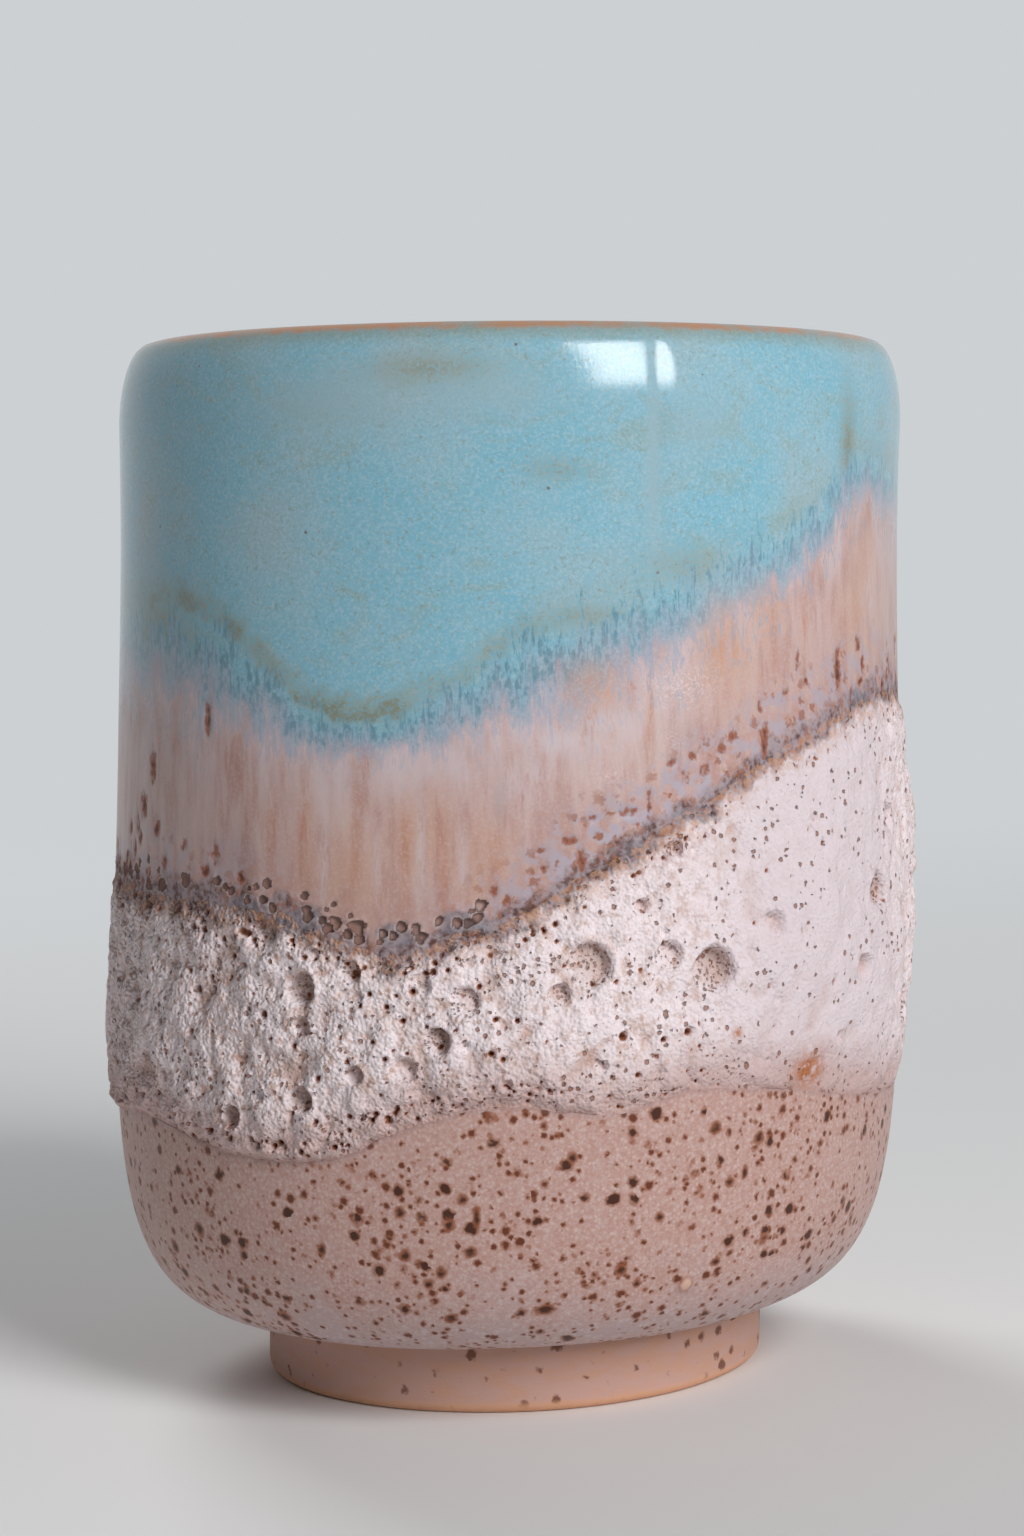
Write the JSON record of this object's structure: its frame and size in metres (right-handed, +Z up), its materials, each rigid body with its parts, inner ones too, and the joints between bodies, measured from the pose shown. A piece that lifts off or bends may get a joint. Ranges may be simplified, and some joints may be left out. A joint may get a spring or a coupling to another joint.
{
  "type": "handleless mug",
  "caption": "Hand-thrown handleless stoneware mug on a low foot ring, with turquoise, streaked, cratered and speckled glaze bands; holds a drink.",
  "frame": {"origin": "on the table, under the middle of the mug's bounding box", "axes": "+Z up along the mug's height; -Y is the front that the picture shows; +X is the picture's right"},
  "size_m": [0.0822, 0.0818, 0.1022],
  "materials": {
    "stoneware_clay": "fired bare stoneware, matte",
    "foot_clay": "bare trimmed stoneware with iron specks, matte",
    "liner_glaze": "gloss turquoise glaze",
    "turquoise_glaze": "gloss turquoise glaze with cloudy mottling",
    "streaked_glaze": "satin peach glaze with vertical streaks",
    "crater_glaze": "matte off-white crater glaze with burst bubbles",
    "speckled_glaze": "satin milky glaze with iron specks"
  },
  "bodies": {
    "root": {"clay_wall": "stoneware_clay", "foot_ring": "foot_clay", "liner_glaze": "liner_glaze", "turquoise_glaze": "turquoise_glaze", "streaked_glaze": "streaked_glaze", "crater_glaze": "crater_glaze", "speckled_glaze": "speckled_glaze"}
  },
  "joints": []
}
